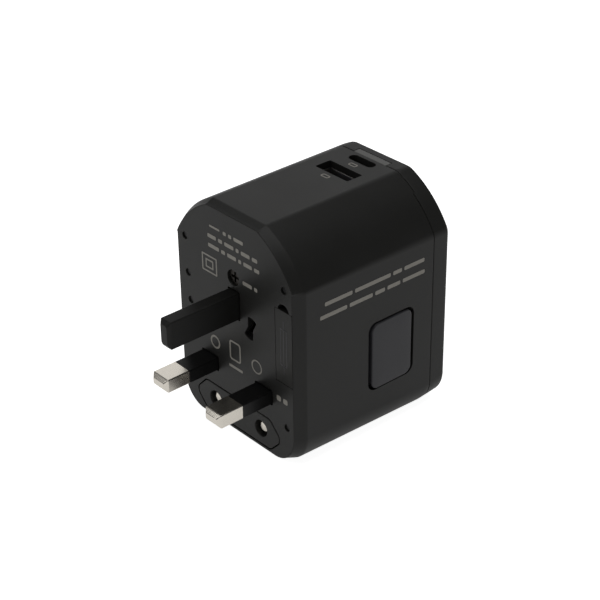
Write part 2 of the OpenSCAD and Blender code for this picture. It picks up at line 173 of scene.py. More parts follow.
def loft(name, rows, ring=False):
    """The outline carried along Y: each row is (y, side inset, top inset, jog).

    Past the jog's angle on the shoulders, and over the top, a row lies jog_deep further back.
    """
    stack = []
    for y, in_side, in_top, jog in rows:
        o = section(y, in_side, in_top)
        stack.append(np.stack([o[:, 0], y + jog * jog_deep * past_jog, o[:, 1]], 1))
    obj = grid_mesh(name, np.array(stack), ring=ring, ends=not ring)
    face_out(obj)
    return obj


def bar(name, rows, axis=1, n=6):
    """A bar along an axis: each row is (place, lo u, hi u, lo v, hi v, corner radius).

    Every row is a rectangle whose four corners are quarter arcs, all with the same number of points.
    """
    u, v = [k for k in (0, 1, 2) if k != axis]
    t = np.concatenate([np.linspace(q * pi / 2, (q + 1) * pi / 2, n) for q in range(4)])
    stack = np.zeros((len(rows), len(t), 3))
    for k, (place, u0, u1, v0, v1, r) in enumerate(rows):
        r = max(r, 1e-6)
        stack[k, :, u] = np.repeat([u1 - r, u0 + r, u0 + r, u1 - r], n) + r * np.cos(t)
        stack[k, :, v] = np.repeat([v1 - r, v1 - r, v0 + r, v0 + r], n) + r * np.sin(t)
        stack[k, :, axis] = place
    obj = grid_mesh(name, stack, ends=True)
    face_out(obj)
    return obj


def block(x, y, z, r=0.0, axis=1, n=8, name="tool"):
    """A straight bar between two values of X, Y and Z, with corners of radius r round its axis."""
    span = [x, y, z]
    (u0, u1), (v0, v1) = [span[k] for k in (0, 1, 2) if k != axis]
    return bar(name, [(place, u0, u1, v0, v1, r) for place in span[axis]], axis, n)


def settle(obj):
    """Applies the piece's modifiers into its mesh."""
    graph = bpy.context.evaluated_depsgraph_get()
    mesh = bpy.data.meshes.new_from_object(obj.evaluated_get(graph))
    obj.modifiers.clear()
    obj.data = mesh


def cut(obj, tools, operation="DIFFERENCE"):
    """Takes each tool's volume away from the piece, then removes the tools."""
    for tool in tools:
        m = obj.modifiers.new("cut", "BOOLEAN")
        m.operation = operation
        m.solver = "EXACT"
        m.object = tool
    bpy.context.view_layer.update()
    settle(obj)
    for tool in tools:
        bpy.data.objects.remove(tool)


def join(name, objs):
    """Several meshes as one piece."""
    b = bmesh.new()
    for o in objs:
        b.from_mesh(o.data)
        bpy.data.objects.remove(o)
    mesh = bpy.data.meshes.new(name)
    b.to_mesh(mesh)
    b.free()
    obj = bpy.data.objects.new(name, mesh)
    bpy.context.scene.collection.objects.link(obj)
    return obj


def soften(obj, width, segments=2, angle=32):
    """Rounds the edges sharper than the angle, and shades the rest smooth."""
    m = obj.modifiers.new("edge", "BEVEL")
    m.width = width
    m.segments = segments
    m.limit_method = "ANGLE"
    m.angle_limit = radians(angle)
    m.use_clamp_overlap = True
    m.harden_normals = True
    m.miter_outer = "MITER_ARC"
    obj.data.shade_smooth()
    w = obj.modifiers.new("shade", "WEIGHTED_NORMAL")
    w.weight = 80


def stand_for(obj, *names, body=None):
    """The piece rides with the CAD nodes it stands for, and those nodes are hidden."""
    bodies = record["behaviour"]["bodies"]
    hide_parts(*names)
    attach(obj, body or next(k for k, v in bodies.items() if names[0] in v))


def noise(tree, coords, scale, detail, stretch=(1, 1, 1)):
    """A noise on Object coordinates, stretched by a Mapping node."""
    place = tree.nodes.new("ShaderNodeMapping")
    place.inputs["Scale"].default_value = stretch
    tree.links.new(coords.outputs["Object"], place.inputs["Vector"])
    n = tree.nodes.new("ShaderNodeTexNoise")
    n.inputs["Scale"].default_value = scale
    n.inputs["Detail"].default_value = detail
    tree.links.new(place.outputs["Vector"], n.inputs["Vector"])
    return n


def finish(name, low, high, rough, grain, depth, blotch=70.0, stretch=(1, 1, 1), **fixed):
    """A surface whose colour drifts from low to high, whose gloss drifts with it, with a fine grain.

    Rough is the middle roughness; grain is the size of the bump's grain and depth its height, in mm.
    """
    mat = bpy.data.materials.new(name)
    mat.use_nodes = True
    t = mat.node_tree
    shader = t.nodes["Principled BSDF"]
    coords = t.nodes.new("ShaderNodeTexCoord")
    fine = noise(t, coords, 1.0 / (grain * mm), 3.0, stretch)
    broad = noise(t, coords, blotch, 4.0, stretch)
    bump = t.nodes.new("ShaderNodeBump")
    bump.inputs["Strength"].default_value = 0.5
    bump.inputs["Distance"].default_value = depth * mm
    t.links.new(fine.outputs["Fac"], bump.inputs["Height"])
    t.links.new(bump.outputs["Normal"], shader.inputs["Normal"])
    mix = t.nodes.new("ShaderNodeMix")
    mix.data_type = "RGBA"
    mix.inputs["A"].default_value = (*low, 1)
    mix.inputs["B"].default_value = (*high, 1)
    t.links.new(broad.outputs["Fac"], mix.inputs["Factor"])
    t.links.new(mix.outputs["Result"], shader.inputs["Base Color"])
    gloss = t.nodes.new("ShaderNodeMapRange")
    gloss.inputs["To Min"].default_value = rough - 0.06
    gloss.inputs["To Max"].default_value = rough + 0.06
    t.links.new(broad.outputs["Fac"], gloss.inputs["Value"])
    t.links.new(gloss.outputs["Result"], shader.inputs["Roughness"])
    for socket, value in fixed.items():
        shader.inputs[socket.replace("_", " ")].default_value = value
    return mat


bevel_steps = np.linspace(0, 1, 7)[1:]
plate_fit = 0.06 * mm
edge_in = 0.04 * mm, 0.16 * mm
# From the rim's seat for the plate, out over the bevel, back to the joint, and forward again inside.
shell_rows = [(face_y + wall, rim_side + plate_fit, rim_top + plate_fit, 0),
              (face_y + 0.10 * mm, rim_side + plate_fit, rim_top + plate_fit, 0),
              (face_y, rim_side - plate_fit, rim_top - plate_fit, 0)]
shell_rows += [(face_y + rim_deep * q, rim_side * (1 - q) ** 1.2, rim_top * (1 - q), 0) for q in bevel_steps]
shell_rows += [(joint_y - 2 * mm, 0, 0, 0), (joint_y - 0.20 * mm, 0, 0, 1),
               (joint_y - 0.06 * mm, edge_in[0], edge_in[0], 1), (joint_y, edge_in[1], edge_in[1], 1),
               (joint_y, wall, wall, 1), (face_y + wall, wall + 0.5 * mm, wall, 0)]
body_shell = loft("body_shell", shell_rows, ring=True)

btn_y, btn_z = face_y + 32.28 * mm, pin_z + 6.6 * mm
btn_half_y, btn_half_z = 7.95 * mm, 10.2 * mm
btn_gap = 0.22 * mm
usb_a_lo, usb_a_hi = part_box("usb_a_shell")
usb_c_lo, usb_c_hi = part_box("usb_c_shell")
port_a_x, port_a_y = 6.25 * mm, (face_y + 33.95 * mm, face_y + 39.25 * mm)
port_c_x, port_c_y = 4.6 * mm, (face_y + 43.6 * mm, face_y + 46.6 * mm)
over = (top_z - 4 * mm, top_z + 2 * mm)
# The knobs' slots: both ends from the plug face, both edges from the pin line, in mm.
knob_slots = ((4.1, 31.4, 23.8, 27.2), (4.6, 29.4, 10.2, 13.8), (6.1, 41.4, -7.2, -3.9))
tools = [
    block((half_w - 4 * mm, half_w + 2 * mm), (btn_y - btn_half_y - btn_gap, btn_y + btn_half_y + btn_gap),
          (btn_z - btn_half_z - btn_gap, btn_z + btn_half_z + btn_gap), 2.6 * mm, 0),
    block((-port_a_x, port_a_x), port_a_y, over, 0.35 * mm, 2),
    block((-port_c_x, port_c_x), port_c_y, over, 1.49 * mm, 2),
]
for y0, y1, z0, z1 in knob_slots:
    tools.append(block((-half_w - 2 * mm, -half_w + 4 * mm), (face_y + y0 * mm, face_y + y1 * mm),
                       (pin_z + z0 * mm, pin_z + z1 * mm), 0.9 * mm, 0))
cut(body_shell, tools)
soften(body_shell, 0.16 * mm, 3)
stand_for(body_shell, "housing_shell")
textured_black = finish("textured_black_plastic", (0.013, 0.013, 0.0120), (0.018, 0.018, 0.0168),
                        0.44, 0.30, 0.016, Specular_IOR_Level=0.22)
body_shell.data.materials.append(textured_black)

# ---- Rear cap ----
# A shallow cap of the same plastic, snapped into the open end, with the slots of the socket in its face.
# A hairline shows at the joint, which steps back over the shoulders and the top.
def filled(name, loops, half_thick, edge=0.0, steps=0):
    """The area between flat loops, given a thickness and rounded edges: a mesh, and its points."""
    curve = bpy.data.curves.new(name, "CURVE")
    curve.dimensions = "2D"
    curve.fill_mode = "BOTH"
    curve.extrude = half_thick - edge
    curve.bevel_depth = edge
    curve.bevel_resolution = steps
    curve.offset = -edge
    for loop in loops:
        s = curve.splines.new("POLY")
        s.points.add(len(loop) - 1)
        co = np.zeros((len(loop), 4))
        co[:, :2] = loop
        co[:, 3] = 1
        s.points.foreach_set("co", co.ravel())
        s.use_cyclic_u = True
    tmp = bpy.data.objects.new(name + "_curve", curve)
    bpy.context.scene.collection.objects.link(tmp)
    graph = bpy.context.evaluated_depsgraph_get()
    mesh = bpy.data.meshes.new_from_object(tmp.evaluated_get(graph))
    bpy.data.objects.remove(tmp)
    co = np.zeros(len(mesh.vertices) * 3)
    mesh.vertices.foreach_get("co", co)
    return mesh, co.reshape(-1, 3)


def flat_piece(name, outer, holes, y0, y1, edge, steps=3):
    """A flat plate in X and Z between two values of Y, with rounded edges round it and its holes."""
    mesh, co = filled(name, [outer] + holes, (y1 - y0) / 2, edge, steps)
    placed = np.stack([co[:, 0], (y0 + y1) / 2 - co[:, 2], co[:, 1]], 1)
    mesh.vertices.foreach_set("co", placed.ravel())
    mesh.name = name
    obj = bpy.data.objects.new(name, mesh)
    bpy.context.scene.collection.objects.link(obj)
    face_out(obj)
    obj.data.shade_smooth()
    return obj


seam = 0.14 * mm
cap_rows = [(joint_y + seam, wall, wall, 1), (joint_y + seam, edge_in[1], edge_in[1], 1),
            (joint_y + seam + 0.06 * mm, edge_in[0], edge_in[0], 1), (joint_y + seam + 0.2 * mm, 0, 0, 1),
            (joint_y + 2 * mm, 0, 0, 0)]
cap_r = 1.2 * mm
for a in np.linspace(0, pi / 2, 7):
    cap_rows.append((back_y - cap_r * (1 - sin(a)), cap_r * (1 - cos(a)), cap_r * (1 - cos(a)), 0))
lip = cap_r + 0.3 * mm
cap_rows += [(back_y, lip, lip, 0), (back_y - wall, lip, lip, 0), (back_y - wall, wall, wall, 0)]
cap_skirt = loft("cap_skirt", cap_rows, ring=True)
pipe_lo, pipe_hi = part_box("light_pipe")
strip_x, strip_back = 6.3 * mm, face_y + 50.1 * mm
through = (back_y - 5 * mm, back_y + 2 * mm)
# The socket's openings: distance from the middle, half width, half height and corner radius in mm, and
# the number of points on a corner.
flat_slot = (11.1, 3.7, 2.5, 0.4, 6)
round_hole = (9.5, 2.7, 2.7, 2.69, 12)
blade_slot = (6.35, 1.1, 3.4, 0.3, 6)
cap_tools = []
for s in (-1, 1):
    for x, half_x, half_z, r, n in (flat_slot, round_hole, blade_slot):
        cap_tools.append(block(((s * x - half_x) * mm, (s * x + half_x) * mm), through,
                               (pin_z - half_z * mm, pin_z + half_z * mm), r * mm, 1, n))
cap_tools.append(block((-2.4 * mm, 2.4 * mm), through, (pin_z + 17.8 * mm, pin_z + 26.6 * mm), 0.4 * mm, 1))
cut(cap_skirt, [block((-strip_x, strip_x), (joint_y - 1 * mm, strip_back), (top_z - 5 * mm, top_z + 1 * mm),
                      0.05 * mm, 2)])
socket_face = flat_piece("socket_face", section(back_y, lip, lip), [], back_y - wall, back_y, 0.001 * mm, 0)
cut(socket_face, cap_tools)
rear_cap = join("rear_cap_moulding", [socket_face, cap_skirt])
soften(rear_cap, 0.12 * mm, 2, 50)
rear_cap.data.materials.append(textured_black)
stand_for(rear_cap, "rear_cap")

# ---- Plug plate ----
# A flat plate let into the rim, with openings for every plug and a blind finger notch above the door.
# One screw and six pegs hold it.
hex_z = pin_z - 12.1 * mm


def arc(cx, cz, r, a0, a1, n=12):
    """Points of an arc about a centre, from one angle to another in degrees."""
    t = np.radians(np.linspace(a0, a1, n))
    return np.stack([cx + r * np.cos(t), cz + r * np.sin(t)], 1)


def round_box(x0, x1, z0, z1, r):
    """A rectangle with round corners."""
    return np.concatenate([arc(x1 - r, z1 - r, r, 0, 90, 6), arc(x0 + r, z1 - r, r, 90, 180, 6),
                           arc(x0 + r, z0 + r, r, 180, 270, 6), arc(x1 - r, z0 + r, r, 270, 360, 6)])


def round_polygon(corners, r):
    """A polygon whose corners are arcs of radius r, each set where it touches both sides."""
    out = []
    c = np.array(corners, float)
    for k in range(len(c)):
        p, a, b = c[k], c[k - 1], c[(k + 1) % len(c)]
        u, v = (a - p) / np.linalg.norm(a - p), (b - p) / np.linalg.norm(b - p)
        half = np.arccos(np.clip(u @ v, -1, 1)) / 2
        mid = (u + v) / np.linalg.norm(u + v)
        centre = p + mid * r / sin(half)
        s = p + u * r / np.tan(half) - centre
        e = p + v * r / np.tan(half) - centre
        a0, a1 = atan2(s[1], s[0]), atan2(e[1], e[0])
        a1 = a0 + (a1 - a0 + pi) % (2 * pi) - pi
        out.append(arc(centre[0], centre[1], r, np.degrees(a0), np.degrees(a1), 6))
    return np.concatenate(out)


def nose_outline(grow):
    """The long hexagon of a flat round-pin plug, with rounded corners."""
    w, h, tip = 13.2 * mm + grow * 0.6, 4.7 * mm + grow, 17.8 * mm + grow * 1.2
    pts = [(w, hex_z + h), (-w, hex_z + h), (-tip, hex_z), (-w, hex_z - h), (w, hex_z - h), (tip, hex_z)]
    return round_polygon(pts, 2.2 * mm + grow)


def bow_outline(side):
    """The slot a flat blade sweeps as it turns: two opposite sectors and a narrow waist."""
    cx, cz = side * 6.35 * mm, pin_z + 17.5 * mm
    r, h = 3.35 * mm, 0.95 * mm
    lean = radians(30)
    edge = np.arcsin(h / r)
    up = np.linspace(pi / 2 + edge, pi / 2 - lean - edge, 8)
    down = up + pi
    waist = h / cos(lean / 2)
    pinch = np.array([[waist * cos(-lean / 2), waist * sin(-lean / 2)]])
    p = np.concatenate([np.stack([r * np.cos(up), r * np.sin(up)], 1), pinch,
                        np.stack([r * np.cos(down), r * np.sin(down)], 1), -pinch])
    if side < 0:
        p = p[::-1] * (-1, 1)
    return p + (cx, cz)


door_x, door_z = (16.35 * mm, 22.75 * mm), (pin_z + 6.85 * mm, pin_z + 28.45 * mm)
door_gap = 0.13 * mm
pegs = [(-19.8, 34.5), (19.8, 34.5), (-19.1, 23.7), (-18.5, 15.5), (20.2, -6.4), (-20.2, -6.4)]
hole_x = 3.5 * mm
holes = []
for s in (-1, 1):
    hole_z = (2.3 + 0.01 * s) * mm
    holes.append(round_box(s * 11.1 * mm - hole_x, s * 11.1 * mm + hole_x, pin_z - hole_z, pin_z + hole_z,
                           0.4 * mm))
holes.append(round_box(-2.3 * mm, 2.3 * mm, pin_z + 17.9 * mm, pin_z + 26.5 * mm, 0.3 * mm))
holes.append(nose_outline(0.30 * mm))
holes += [bow_outline(-1), bow_outline(1)]
holes += [arc(x * mm, pin_z + z * mm, 1.05 * mm, 0, 345, 24) for x, z in pegs]
holes.append(arc(0, pin_z + 29.9 * mm, 2.3 * mm, 0, 352.5, 48))
plug_plate = flat_piece("plug_plate", outline(rim_side + 0.05 * mm, rim_top + 0.05 * mm), holes, face_y,
                        face_y + wall, 0.12 * mm)
notch = arc(19.6 * mm, pin_z + 28.2 * mm, 2.2 * mm, 0, 180, 20)
notch_tool = flat_piece("tool", notch, [], face_y - 1 * mm, face_y + wall - 0.2 * mm, 0.01 * mm, 0)
door_tool = block((door_x[0] - door_gap, half_w), (face_y - 1 * mm, face_y + 3 * mm),
                  (door_z[0] - door_gap, door_z[1] + door_gap), 0.3 * mm, 1)
cut(plug_plate, [door_tool, notch_tool])
soften(plug_plate, 0.08 * mm, 2, 50)
plug_plate.data.materials.append(textured_black)
stand_for(plug_plate, "front_plate")

# ---- Pegs and screw of the plate ----
# Six plastic pegs are pressed flush into the plate. A blackened steel screw sits deep in its counterbore.
smooth_black = finish("smooth_black_plastic", (0.0040, 0.0040, 0.0040), (0.0065, 0.0065, 0.0065),
                      0.36, 0.55, 0.010, Specular_IOR_Level=0.25)


def rounded(node, name, width, material, segments=2):
    """A copy of a CAD node, its split corners merged, its flat faces joined and its edges rounded."""
    mesh = nodes[node].data.copy()
    mesh.name = name
    obj = bpy.data.objects.new(name, mesh)
    bpy.context.scene.collection.objects.link(obj)
    b = bmesh.new()
    b.from_mesh(mesh)
    bmesh.ops.remove_doubles(b, verts=b.verts, dist=2e-6)
    bmesh.ops.dissolve_limit(b, angle_limit=radians(0.5), verts=b.verts, edges=b.edges)
    b.to_mesh(mesh)
    b.free()
    soften(obj, width, segments)
    mesh.materials.clear()
    mesh.materials.append(material)
    stand_for(obj, node)
    return obj


rounded("plate_pegs", "plate_peg_set", 0.12 * mm, smooth_black)
black_steel = finish("blackened_steel", (0.018, 0.016, 0.015), (0.05, 0.045, 0.04), 0.42, 0.12, 0.006, 400.0,
                     Metallic=1.0)
rounded("centre_screw", "plate_screw", 0.06 * mm, black_steel)

# ---- Flat pins ----
# Two solid brass pins, nickel plated, with bevelled tips. Black nylon sleeves cover their inner half.
pin_lo, pin_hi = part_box("uk_pin_right")
pin_x = (pin_lo.x + pin_hi.x) / 2
pin_half_x, pin_half_z = 3.175 * mm, 2 * mm
tip_lead, tip_x, tip_z = 1.0 * mm, 2.15 * mm, 0.85 * mm
shank_half_x, shank_half_z = 2.675 * mm, 1.5 * mm
bore_half_x, bore_half_z = 2.7 * mm, 1.52 * mm
sleeve_lo, sleeve_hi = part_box("uk_sleeves")
nickel = finish("nickel_plate", (0.66, 0.62, 0.55), (0.76, 0.72, 0.65), 0.22, 1.2, 0.002, 260.0,
                (1.0, 0.18, 1.0), Metallic=1.0)


def tipped_rows(cx, cz, half_x, half_z, y_tip, y_end, lead, flat_x, flat_z, r):
    """Rows of a bar along Y with a bevelled tip: the section shrinks to flat_x by flat_z over the lead."""
    rows = [(y_tip, flat_x, flat_z, min(flat_x, flat_z) * 0.6), (y_tip + lead, half_x, half_z, r),
            (y_end, half_x, half_z, r)]
    return [(y, cx - a, cx + a, cz - b, cz + b, q) for y, a, b, q in rows]


step_y = sleeve_lo.y + 0.05 * mm
for side, label in ((-1, "left"), (1, "right")):
    cx = side * pin_x
    pin_rows = tipped_rows(cx, pin_z, pin_half_x, pin_half_z, pin_lo.y, step_y, tip_lead, tip_x, tip_z,
                           0.32 * mm)
    pin_rows += [(y, cx - shank_half_x, cx + shank_half_x, pin_z - shank_half_z, pin_z + shank_half_z,
                  0.4 * mm) for y in (step_y, pin_hi.y)]
    pin = bar("nickel_pin_" + label, pin_rows)
    soften(pin, 0.2 * mm, 3, 25)
    pin.data.materials.append(nickel)
    stand_for(pin, "uk_pin_" + label)

sleeves = []
for side in (-1, 1):
    cx = side * pin_x
    tube = block((cx - pin_half_x, cx + pin_half_x), (sleeve_lo.y, sleeve_hi.y),
                 (pin_z - pin_half_z, pin_z + pin_half_z), 0.32 * mm)
    cut(tube, [block((cx - bore_half_x, cx + bore_half_x), (sleeve_lo.y - mm, sleeve_hi.y + mm),
                     (pin_z - bore_half_z, pin_z + bore_half_z), 0.15 * mm)])
    sleeves.append(tube)
pin_sleeves = join("pin_sleeves", sleeves)
soften(pin_sleeves, 0.07 * mm, 2)
pin_sleeves.data.materials.append(smooth_black)
stand_for(pin_sleeves, "uk_sleeves")

# ---- Earth pin ----
# A longer pin moulded whole in black nylon, with a bevelled tip, on a cross bar behind the plate.
earth_lo, earth_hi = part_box("uk_earth_pin")
nylon_black = finish("moulded_black_nylon", (0.006, 0.006, 0.0055), (0.009, 0.009, 0.0082), 0.45, 0.4, 0.012,
                     Specular_IOR_Level=0.20)
earth_z = pin_z + 22.2 * mm
cross_y = face_y + 8.4 * mm
earth_rows = tipped_rows(0, earth_z, 2 * mm, 4 * mm, earth_lo.y, cross_y, 0.8 * mm, 1.3 * mm, 2.9 * mm,
                         0.35 * mm)
cross_z = (pin_z + 22.5 * mm, pin_z + 27 * mm)
earth_rows[-1] = (earth_hi.y - 0.01 * mm, *earth_rows[-1][1:])
earth_rows.insert(-1, (cross_y, *earth_rows[-1][1:]))
cross_bar = block((-4 * mm, 4 * mm), (face_y + 8.3 * mm, earth_hi.y), cross_z, 0.3 * mm)
earth = join("nylon_earth_pin", [bar("earth", earth_rows), cross_bar])
soften(earth, 0.18 * mm, 3, 25)
earth.data.materials.append(nylon_black)
stand_for(earth, "uk_earth_pin")

# ---- Nose and round pins ----
# A flat hexagonal nose slides in the plate. Two nickel plated round pins with domed tips pass through it.
nose_lo, nose_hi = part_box("eu_nose")
round_x, round_z, round_r = 9.5 * mm, pin_z - 12 * mm, 2 * mm
bores = [arc(s * round_x, round_z, 2.4 * mm, 0, 352.5, 48) for s in (-1, 1)]
nose_tip = flat_piece("nose_tip", nose_outline(0), bores, nose_lo.y, nose_hi.y - 0.02 * mm, 0.28 * mm, 4)
flange_loop = round_box(-18.6 * mm, 18.6 * mm, pin_z - 13.4 * mm, pin_z - 6.4 * mm, 0.5 * mm)
flange = flat_piece("nose_flange", flange_loop, bores, nose_hi.y - 1.4 * mm, nose_hi.y, 0.1 * mm)
nose = join("round_pin_nose", [nose_tip, flange])
nose.data.shade_smooth()
nose.modifiers.new("shade", "WEIGHTED_NORMAL").weight = 80
nose.data.materials.append(textured_black)
stand_for(nose, "eu_nose")


def turned(name, profile, centre, axis=1, n=48):
    """A turned part: the profile of (place along the axis, radius) carried round a full circle.

    The other two directions take the centre plus the radius times the cosine and the sine.
    """
    t = np.linspace(0, 2 * pi, n, endpoint=False)
    place, r = np.array(profile).T[:, :, None]
    u, v = [k for k in (0, 1, 2) if k != axis]
    points = np.zeros((len(profile), n, 3))
    points[:, :, axis] = place
    points[:, :, u] = centre[u] + r * np.cos(t)
    points[:, :, v] = centre[v] + r * np.sin(t)
    obj = grid_mesh(name, points, ends=True)
    face_out(obj)
    return obj


round_lo, round_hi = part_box("eu_pins")
dome = [(round_lo.y + 1.1 * mm * (1 - cos(a)), round_r * sin(a)) for a in np.linspace(0.02, pi / 2, 12)]
pin_profile = dome + [(round_hi.y - 0.2 * mm, round_r), (round_hi.y, 1.8 * mm)]
round_pins = join("round_pin_pair", [turned("pin", pin_profile, (s * round_x, 0, round_z)) for s in (-1, 1)])
soften(round_pins, 0.05 * mm, 2, 40)
round_pins.data.materials.append(nickel)
stand_for(round_pins, "eu_pins")

# ---- Flat blades ----
# Two stamped blades, nickel plated, each pressed into a plastic rotor that turns in the carriage.
satin_grey = finish("satin_grey_plastic", (0.022, 0.022, 0.024), (0.030, 0.030, 0.033), 0.36, 0.6, 0.008,
                    Specular_IOR_Level=0.3)
for label in ("left", "right"):
    rounded("us_blade_" + label, "flat_blade_" + label, 0.10 * mm, nickel)
    rounded("us_rotor_" + label, "blade_rotor_" + label, 0.15 * mm, satin_grey)

# ---- Release button ----
# A smooth pad in a slightly bluish grey plastic, with round corners and a crowned face.
# It is pushed out by two springs and carries the latch bar.
pad_half_y, pad_half_z, pad_top = 7.15 * mm, 9.98 * mm, half_w + 0.62 * mm
pad_foot = half_w - wall - 0.3 * mm
edge_r, crown = 0.35 * mm, 0.08 * mm
pad_in = [(pad_foot, 0.0)]
for a in np.linspace(0, pi / 2, 6):
    pad_in.append((pad_top - crown - edge_r * (1 - sin(a)), edge_r * (1 - cos(a))))
pad_in += [(pad_top - crown * q * q, edge_r + 4.5 * mm * (1 - q)) for q in (0.75, 0.5, 0.25, 0.0)]
pad_rows = [(x, btn_y - pad_half_y + i, btn_y + pad_half_y - i, btn_z - pad_half_z + i,
             btn_z + pad_half_z - i, max(2.2 * mm - i * 0.4, 0.4 * mm)) for x, i in pad_in]
pad = bar("release_pad", pad_rows, 0, 8)
skirt_half_y, skirt_half_z = 9 * mm, 11.2 * mm
skirt = block((half_w - 3.6 * mm, pad_foot), (btn_y - skirt_half_y, btn_y + skirt_half_y),
              (btn_z - skirt_half_z, btn_z + skirt_half_z), 2.0 * mm, 0)
cut(skirt, [block((half_w - 4.5 * mm, half_w - 1.5 * mm), (btn_y - 6.3 * mm, btn_y + 3 * mm),
                  (btn_z - 8.6 * mm, btn_z + 8.6 * mm), 0.5 * mm, 0)])
release_pad = join("release_pad", [pad, skirt])
soften(release_pad, 0.10 * mm, 2)
button_plastic = finish("button_plastic", (0.026, 0.026, 0.029), (0.032, 0.032, 0.036), 0.30, 0.8, 0.004,
                        Specular_IOR_Level=0.24)
release_pad.data.materials.append(button_plastic)
stand_for(release_pad, "release_button")
rounded("latch_bar", "latch_slide", 0.15 * mm, smooth_black)


def helix(name, centre, axis, radius, wire, turns, length):
    """A wire swept along a helix: the centre line turns about the axis as it advances evenly.

    The section is a circle in the plane of the outward radial and the cross of it with the tangent.
    """
    t = np.linspace(0, 2 * pi * turns, int(turns * 28) + 1)[:, None]
    a = np.linspace(0, 2 * pi, 10, endpoint=False)[None, :]
    pitch = (length - wire) / (2 * pi * turns)
    radial = np.stack([np.cos(t), np.sin(t), 0 * t], 2)
    tangent = np.stack([-radius * np.sin(t), radius * np.cos(t), pitch + 0 * t], 2)
    tangent /= np.linalg.norm(tangent, axis=2, keepdims=True)
    side_way = np.cross(tangent, radial)
    line = radial * radius + np.stack([0 * t, 0 * t, wire / 2 + pitch * t], 2)
    skin = line + (wire / 2) * (np.cos(a)[:, :, None] * radial + np.sin(a)[:, :, None] * side_way)
    if axis == 0:
        skin = skin[:, :, [2, 0, 1]]
    obj = grid_mesh(name, skin + np.array(centre), ends=True)
    face_out(obj)
    obj.data.shade_smooth()
    return obj


spring_steel = finish("drawn_spring_wire", (0.42, 0.42, 0.43), (0.60, 0.60, 0.61), 0.30, 0.4, 0.003, 500.0,
                      (1.0, 1.0, 0.3), Metallic=1.0)
spring_lo, spring_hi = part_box("button_springs")
coils = [helix("coil", (spring_lo.x, face_y + 39 * mm, pin_z + z * mm), 0, 2 * mm, 0.6 * mm, 4,
               spring_hi.x - spring_lo.x) for z in (0.9, 12.8)]
button_coils = join("button_coils", coils)
button_coils.data.shade_smooth()
button_coils.data.materials.append(spring_steel)
stand_for(button_coils, "button_springs", body="housing")
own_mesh(button_coils)

# ---- Charging ports ----
# Two steel shells stand on the board below the windows in the top: a wide one with a blue tongue and
# four gilt contacts, and a small oval one with a black tongue.
def port_tube(name, lo, hi, r):
    """An upright tube of rounded section: outside up, over the rim, and inside down to a floor."""
    thick, turn = 0.3 * mm, 0.08 * mm

    def ring(z, inset):
        return (z, -hi.x + inset, hi.x - inset, lo.y + inset, hi.y - inset, max(r - inset, 0.1 * mm))

    return bar(name, [ring(lo.z, 0), ring(hi.z - turn, 0), ring(hi.z, turn), ring(hi.z - turn, thick),
                      ring(lo.z + 1 * mm, thick)], 2)


port_steel = finish("port_shell_steel", (0.30, 0.29, 0.28), (0.42, 0.41, 0.39), 0.34, 0.3, 0.003, 300.0,
                    (0.25, 1.0, 1.0), Metallic=1.0)
wide_port = port_tube("wide_port_shell", usb_a_lo, usb_a_hi, 0.5 * mm)
small_port = port_tube("small_port_shell", usb_c_lo, usb_c_hi, 1.45 * mm)
for piece, node in ((wide_port, "usb_a_shell"), (small_port, "usb_c_shell")):
    soften(piece, 0.05 * mm, 2)
    piece.data.materials.append(port_steel)
    stand_for(piece, node)
blue_tongue = finish("blue_tongue_plastic", (0.004, 0.010, 0.045), (0.007, 0.016, 0.065), 0.35, 0.4, 0.006)
gilt = finish("gilt_contact", (0.70, 0.50, 0.20), (0.85, 0.64, 0.30), 0.28, 0.4, 0.002, 300.0, Metallic=1.0)
rounded("usb_a_tongue", "wide_port_tongue", 0.15 * mm, blue_tongue)
rounded("usb_a_contacts", "wide_port_contacts", 0.04 * mm, gilt)
rounded("usb_c_tongue", "small_port_tongue", 0.12 * mm, smooth_black)

# ---- Light strip ----
# A frosted smoke-grey strip set flush in the top of the cap. It carries the light of the lamp below.
frosted = finish("frosted_light_strip", (0.085, 0.085, 0.080), (0.11, 0.11, 0.105), 0.5, 0.35, 0.006, 220.0)
strip_gap = 0.17 * mm
strip_half = strip_x - strip_gap
strip = block((-strip_half, strip_half), (joint_y + jog_deep + 0.04 * mm, strip_back - strip_gap),
              (top_z - 3.2 * mm, top_z - 0.01 * mm), 0.25 * mm, 2)
foot = block((pipe_lo.x, pipe_hi.x), (joint_y + 0.1 * mm, pipe_hi.y), (pipe_lo.z, top_z - wall - 0.35 * mm),
             0.2 * mm, 2)
light_strip = join("light_strip", [strip, foot])
soften(light_strip, 0.10 * mm, 3)
light_strip.data.materials.append(frosted)
stand_for(light_strip, "light_pipe")

# ---- Spare fuse drawer ----
# A flush door with a finger notch above it and a raised fuse sign, on a tray that holds a spare fuse.
drawer_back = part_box("fuse_drawer")[1].y
front = block(door_x, (face_y, face_y + 1.9 * mm), door_z, 0.25 * mm, 1, name="drawer_front")
tray = block((16.6 * mm, 22.7 * mm), (face_y + 1.8 * mm, drawer_back), (pin_z + 7.05 * mm, pin_z + 28.2 * mm),
             0.2 * mm)
cut(tray, [block((17.3 * mm, 24 * mm), (face_y + 3.1 * mm, face_y + 8.7 * mm),
                 (pin_z + 7.7 * mm, pin_z + 27.3 * mm), 0.4 * mm, 0)])
cut(front, [tray], "UNION")
soften(front, 0.10 * mm, 2)
front.data.materials.append(textured_black)
stand_for(front, "fuse_drawer")
sign_x, sign_z = (door_x[0] + door_x[1]) / 2, (door_z[0] + door_z[1]) / 2
raised = 0.03 * mm
sign_y = (face_y - raised, face_y + 0.3 * mm)
line = 0.3 * mm


def sign_box(half_x, half_z, r):
    """A rectangle about the middle of the door."""
    return round_box(sign_x - half_x, sign_x + half_x, sign_z - half_z, sign_z + half_z, r)


